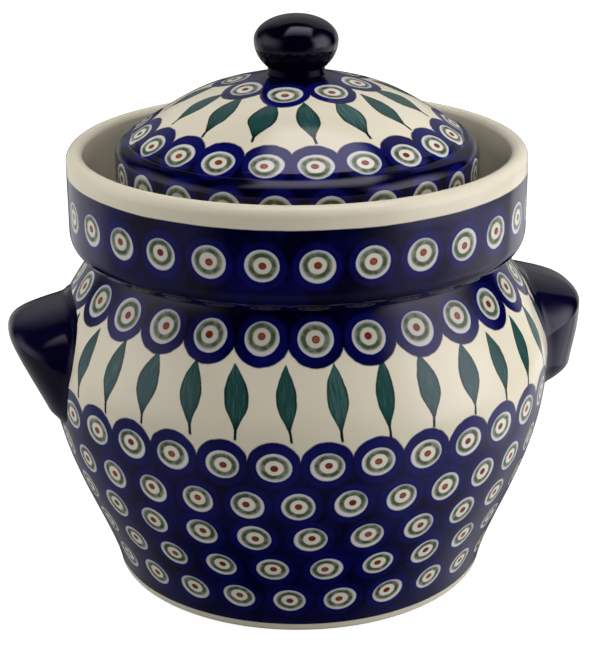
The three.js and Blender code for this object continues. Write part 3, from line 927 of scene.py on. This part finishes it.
# Lug handles: a side outline that shrinks towards both ends of the lug. The right lug has the fuller heel.
lug = {
    "reach": 19.6, "tipRise": 19.2, "tipOver": 8.4, "topRise": 38.4, "topReach": 4.3, "topFall": 9,
    "heelSoft": 1.2, "heelGrip": 10, "bottomDrop": 27.6, "rootDepth": 28.7,
    "halfWidth": 43, "squareness": 2.6, "seatDepth": 0.8, "fillet": 4, "filletSpread": 1.8, "stepsAcross": 120,
    "acrossShare": 0.98}


leftHeel = {"reach": 3, "round": 8, "tipUnder": 4.8}
rightHeel = {"reach": 15.2, "round": 14.5, "tipUnder": 14}


def lugOutline(heelShape):
    root = pot["bellyRadius"] - lug["rootDepth"]
    top = pot["bellyHeight"] + lug["topRise"]
    tip = Vector((pot["bellyRadius"] + lug["reach"], pot["bellyHeight"] + lug["tipRise"]))
    bottom = pot["bellyHeight"] - lug["bottomDrop"]
    heel = Vector((pot["bellyRadius"] + heelShape["reach"], bottom + heelShape["round"]))
    lean = (tip - heel).normalized()
    start = pot["bellyRadius"] - heelShape["round"] / 2
    outline = [(root + (start - root) * i / 12, bottom) for i in range(12)]
    outline += bezierPoints((start, bottom), (heel.x - heelShape["round"] * lug["heelSoft"], bottom),
                            heel - lean * heelShape["round"] / 2, heel, 12)
    outline += bezierPoints(heel, heel + lean * lug["heelGrip"],
                            (tip.x, tip.y - heelShape["tipUnder"]), tip, 28)[1:]
    outline += bezierPoints(tip, (tip.x, tip.y + lug["tipOver"]),
                            (pot["bellyRadius"] + lug["topReach"], top - lug["topFall"]), (root, top), 48)[1:]
    return outline, root


def lugPiece(name, heelShape, turn):
    outline, root = lugOutline(heelShape)
    verts, faces, rows = [], [], []
    power = 2 / lug["squareness"]
    for j in range(lug["stepsAcross"] + 1):
        lean = math.pi * (j / lug["stepsAcross"] - 0.5) * lug["acrossShare"]
        across = math.copysign(abs(math.sin(lean)) ** power, lean) * lug["halfWidth"]
        share = math.cos(lean) ** power
        rows.append(range(len(verts), len(verts) + len(outline)))
        for r, z in outline:
            height = pot["bellyHeight"] + (z - pot["bellyHeight"]) * share
            verts.append((root + (r - root) * share, across, height))
    for low, high in zip(rows, rows[1:]):
        for i in range(len(outline)):
            j = (i + 1) % len(outline)
            faces.append((low[i], low[j], high[j], high[i]))
    faces += [tuple(rows[0][::-1]), tuple(rows[-1])]
    piece = meshPiece(name, verts, faces)
    seatLug(piece)
    piece.data.transform(Matrix.Rotation(turn, 4, "Z"))
    return piece


# Lays the lug's root just under the pot's wall, and spreads it there in a fillet
def seatLug(piece):
    normals = [Vector(v.normal) for v in piece.data.vertices]
    for vert, normal in zip(piece.data.vertices, normals):
        point = vert.co / metre
        stand = math.hypot(point.x, point.y) - wallRadius(point.z)
        if stand < lug["fillet"]:
            outward = Vector((point.x, point.y, 0)).normalized()
            spread = normal - outward * normal.dot(outward)
            share = 1 - max(stand, 0) / lug["fillet"]
            point += spread * lug["filletSpread"] * share ** 3
            stand = math.hypot(point.x, point.y) - wallRadius(point.z)
        if stand < -lug["seatDepth"]:
            point += Vector((point.x, point.y, 0)).normalized() * (-lug["seatDepth"] - stand)
        vert.co = point * metre
    piece.data.update()


rightHandle = lugPiece("rightHandle", rightHeel, 0)
leftHandle = lugPiece("leftHandle", leftHeel, math.pi)
dress(rightHandle, "crock", "right_handle", "navy_glaze", navyGlaze)
dress(leftHandle, "crock", "left_handle", "navy_glaze", navyGlaze)
print("lugs made:", len(rightHandle.data.polygons), "faces each")


# Weight stones
stone = {"thickness": 20, "clearance": 2, "gap": 1.6, "edgeRound": 3, "edgeSteps": 4, "edgeAngle": 50,
         "notchRadius": 13, "restGap": 0.3, "steps": 72}


def stonePiece(name, turn):
    filletTop = floorTop + pot["floorFillet"]
    radius = wallRadius(filletTop) - pot["wall"] - pot["floorFillet"] - stone["clearance"]
    edge = stone["gap"] / 2
    lean = math.degrees(math.asin(edge / radius))
    outline = arcPoints(0, 0, radius, radius, lean - 90, 90 - lean, stone["steps"])
    outline += arcPoints(edge, 0, stone["notchRadius"], stone["notchRadius"], 90, -90, stone["steps"] // 3)
    low = floorTop + stone["restGap"]
    built = bmesh.new()
    bottom = [built.verts.new(Vector((x, y, low)) * metre) for x, y in outline]
    face = built.faces.new(bottom[::-1])
    lifted = bmesh.ops.extrude_face_region(built, geom=[face])
    moved = [item for item in lifted["geom"] if isinstance(item, bmesh.types.BMVert)]
    bmesh.ops.translate(built, verts=moved, vec=(0, 0, stone["thickness"] * metre))
    if not any(f.normal.z < -0.5 for f in built.faces):
        built.faces.new(bottom[::-1])
    bmesh.ops.recalc_face_normals(built, faces=built.faces[:])
    mesh = bpy.data.meshes.new(name)
    built.to_mesh(mesh)
    built.free()
    mesh.transform(Matrix.Rotation(turn, 4, "Z"))
    piece = addObject(name, mesh)
    bevel = piece.modifiers.new("softEdge", "BEVEL")
    bevel.width = stone["edgeRound"] * metre
    bevel.segments = stone["edgeSteps"]
    bevel.limit_method = "ANGLE"
    bevel.angle_limit = math.radians(stone["edgeAngle"])
    mesh.shade_smooth()
    return piece


stoneRight = stonePiece("weightStoneRight", 0)
stoneLeft = stonePiece("weightStoneLeft", math.pi)
dress(stoneRight, "right_stone", "weight_stone_right", "bare_clay", clayStone)
dress(stoneLeft, "left_stone", "weight_stone_left", "bare_clay", clayStone)
print("weight stones made")


# Camera, at the photograph's angle: the left handle is turned a little towards it
photoCamera = {
    "azimuth": -11.0, "elevation": 20.57, "distance": 0.9084, "aimHeight": 0.1258, "aimRight": 0.00092,
    "lens": 97.4, "sensor": 36, "roll": -0.414}


def placeCamera():
    azimuth = math.radians(photoCamera["azimuth"])
    elevation = math.radians(photoCamera["elevation"])
    roll = math.radians(photoCamera["roll"])
    back = Vector((math.sin(azimuth) * math.cos(elevation), -math.cos(azimuth) * math.cos(elevation),
                   math.sin(elevation)))
    right = Vector((math.cos(azimuth), math.sin(azimuth), 0))
    up = back.cross(right)
    data = bpy.data.cameras.new("photoCamera")
    data.sensor_width = photoCamera["sensor"]
    data.lens = photoCamera["lens"]
    camera = addObject("photoCamera", data)
    aim = Vector((0, 0, photoCamera["aimHeight"])) + right * photoCamera["aimRight"]
    rolledRight = right * math.cos(roll) + up * math.sin(roll)
    rolledUp = up * math.cos(roll) - right * math.sin(roll)
    turn = Matrix((rolledRight, rolledUp, back)).transposed().to_4x4()
    camera.matrix_world = Matrix.Translation(aim + back * photoCamera["distance"]) @ turn
    bpy.context.scene.camera = camera


placeCamera()


# Studio: a pale table and soft lamps all round; the glaze mirrors the windows below instead of the lamps
studio = {
    "tableHalfWidth": 3.0, "tableFront": -1.5, "tableBack": 6.0, "tableGlow": 0.66, "tableBounce": 0.28,
    "tablePale": 0.9, "tableLight": (1.32, 1.6), "tableFade": (0.2, 0.8), "lampAim": 0.15, "fillBright": 0.03}
softLamps = {
    "right": {"at": (1.08, -0.62, 0.35), "size": (1.4, 1.2), "brightness": 3.9},
    "left": {"at": (-1.23, -0.22, 0.35), "size": (1.4, 1.2), "brightness": 1.75},
    "lowFront": {"at": (-0.25, -1.3, 0.12), "size": (1.2, 0.5), "brightness": 0.5},
    "top": {"at": (0.16, 0.19, 1.45), "size": (0.8, 0.8), "brightness": 3.7},
    "highLeft": {"at": (-0.95, 0.1, 1.2), "size": (1.0, 1.0), "brightness": 0.95},
    "highRight": {"at": (0.95, 0.1, 1.2), "size": (1.0, 1.0), "brightness": 0.95},
    "backLeft": {"at": (-0.9, 0.9, 0.5), "size": (1.0, 1.0), "brightness": 2.2},
    "backRight": {"at": (0.9, 0.9, 0.5), "size": (1.0, 1.0), "brightness": 0.4}}
# across and up give the angles in degrees where a window begins, is full, is still full and ends
mirrorWindows = {
    "right": {"across": (-60, -38, -20, 14), "up": (-20, -8, 24, 54), "brightness": 2.9},
    "left": {"across": (126, 173, 183, 230), "up": (-18, 4, 20, 44), "brightness": 1.2},
    "behind": {"across": (29, 35, 95, 132), "up": (-12, 26, 50, 58), "brightness": 0.36},
    "behindRight": {"across": (27, 33, 50, 75), "up": (-32, -16, 0, 14), "brightness": 0.5},
    "behindLeft": {"across": (92, 104, 140, 160), "up": (-32, -17, 0, 12), "brightness": 0.38},
    "tableRight": {"across": (-80, -40, 30, 75), "up": (-72, -22, -18, -8), "brightness": 0.65},
    "lowRight": {"across": (-32, -8, 12, 26), "up": (-36, -29, -21, -12), "brightness": 0.5},
    "tableLeft": {"across": (88, 106, 200, 230), "up": (-72, -22, -12, -2), "brightness": 0.27},
    "tableFront": {"across": (200, 230, 280, 310), "up": (-80, -34, -28, -18), "brightness": 0.12}}
# The window overhead narrows towards the back: each side gives its place in the middle and its slant
mirrorTop = {
    "turn": -11, "left": (-0.28, 0.5), "right": (0.47, -0.3), "soft": 0.06, "front": (-0.45, -0.3),
    "back": (0.38, 0.29), "frontFade": (-0.5, 0.2), "above": (0.1, 0.4), "brightness": 2.9}


def addSoftLamp(name, lampSpec):
    data = bpy.data.lights.new(name, "AREA")
    data.shape = "RECTANGLE"
    data.size, data.size_y = lampSpec["size"]
    data.energy = math.pi * data.size * data.size_y * lampSpec["brightness"]
    lamp = addObject(name, data)
    lamp.location = lampSpec["at"]
    toPot = Vector((0, 0, studio["lampAim"])) - lamp.location
    lamp.rotation_euler = toPot.to_track_quat("-Z", "Y").to_euler()
    lamp.visible_camera = False
    lamp.visible_glossy = False


for lampName, lampSpec in softLamps.items():
    addSoftLamp(lampName + "SoftLamp", lampSpec)


def tableTop():
    half = studio["tableHalfWidth"]
    corners = [(-half, studio["tableFront"], 0), (half, studio["tableFront"], 0),
               (half, studio["tableBack"], 0), (-half, studio["tableBack"], 0)]
    mesh = bpy.data.meshes.new("tableTop")
    mesh.from_pydata(corners, [], [(0, 1, 2, 3)])
    table = addObject("tableTop", mesh)
    material, tree = newMaterial("tableWhite")
    path = addNode(tree, "ShaderNodeLightPath").outputs
    pale, dim = (
        addNode(tree, "ShaderNodeBsdfDiffuse", None, {"Color": (grey, grey, grey, 1)})
        for grey in (studio["tablePale"], studio["tableBounce"]))
    clear = addNode(tree, "ShaderNodeBsdfTransparent")
    reach = addNode(tree, "ShaderNodeVectorMath", {"operation": "LENGTH"}, {
        0: objectPlace(tree)}).outputs["Value"]
    whiten = softStep(tree, reach, *studio["tableFade"])  # white away from the pot's shadow
    near, far = studio["tableLight"]
    glow = addNode(tree, "ShaderNodeEmission", None, {
        "Color": (1, 1, 1, 1), "Strength": timesPlus(tree, whiten, far - near, near)})
    shown = addNode(tree, "ShaderNodeMixShader", None, {
        0: studio["tableGlow"], 1: pale.outputs[0], 2: glow.outputs[0]})
    unseen = addNode(tree, "ShaderNodeMixShader", None, {
        0: path["Is Glossy Ray"], 1: dim.outputs[0], 2: clear.outputs[0]})
    mixed = addNode(tree, "ShaderNodeMixShader", None, {
        0: path["Is Camera Ray"], 1: unseen.outputs[0], 2: shown.outputs[0]})
    addNode(tree, "ShaderNodeOutputMaterial", None, {"Surface": mixed.outputs[0]})
    mesh.materials.append(material)


# How far a direction points towards a compass angle, in the plane of the table
def towards(tree, direction, angle):
    return addNode(tree, "ShaderNodeVectorMath", {"operation": "DOT_PRODUCT"}, {
        0: direction, 1: (math.cos(angle), math.sin(angle), 0)}).outputs["Value"]


# Light in the direction of a window that fades at all four sides
def mirrorWindow(tree, direction, window):
    begin, full, still, end = (math.radians(v) for v in window["across"])
    low, fullLow, fullHigh, high = (math.radians(v) for v in window["up"])
    centre = (full + still) / 2
    aside = towards(tree, direction, centre + math.pi / 2)
    turn = calc(tree, "ARCTAN2", aside, towards(tree, direction, centre))
    rise = calc(tree, "ARCSINE", heightOf(tree, direction))
    light = window["brightness"]
    for place, outer, inner in ((turn, begin - centre, full - centre), (turn, end - centre, still - centre),
                                (rise, low, fullLow), (rise, high, fullHigh)):
        light = times(tree, light, softStep(tree, place, outer, inner))
    return light


def overheadWindow(tree, direction):
    turn = math.radians(mirrorTop["turn"])
    aside = towards(tree, direction, turn)
    behind = towards(tree, direction, turn + math.pi / 2)
    height = heightOf(tree, direction)
    light = mirrorTop["brightness"]
    for side, soft in (("left", mirrorTop["soft"]), ("right", -mirrorTop["soft"])):
        middle, slant = mirrorTop[side]
        past = timesPlus(tree, behind, -slant, aside)
        light = times(tree, light, softStep(tree, past, middle - soft, middle + soft))
    for fade in ("front", "back", "frontFade"):
        light = times(tree, light, softStep(tree, behind, *mirrorTop[fade]))
    return times(tree, light, softStep(tree, height, *mirrorTop["above"]))


def studioWorld():
    world = bpy.data.worlds.new("studioWorld")
    world.use_nodes = True
    tree = world.node_tree
    tree.nodes.clear()
    direction = addNode(tree, "ShaderNodeTexCoord").outputs["Generated"]
    mirrored = overheadWindow(tree, direction)
    for window in mirrorWindows.values():
        mirrored = plus(tree, mirrored, mirrorWindow(tree, direction, window))
    path = addNode(tree, "ShaderNodeLightPath").outputs
    fill = addNode(tree, "ShaderNodeMix", None, {
        0: path["Is Glossy Ray"], 2: studio["fillBright"], 3: mirrored}).outputs[0]
    strength = calc(tree, "MAXIMUM", fill, path["Is Camera Ray"])
    lit = addNode(tree, "ShaderNodeBackground", None, {"Color": (1, 1, 1, 1), "Strength": strength})
    addNode(tree, "ShaderNodeOutputWorld", None, {"Surface": lit.outputs[0]})
    bpy.context.scene.world = world


tableTop()
studioWorld()
bpy.context.scene.view_settings.view_transform = "Standard"
print("studio set")
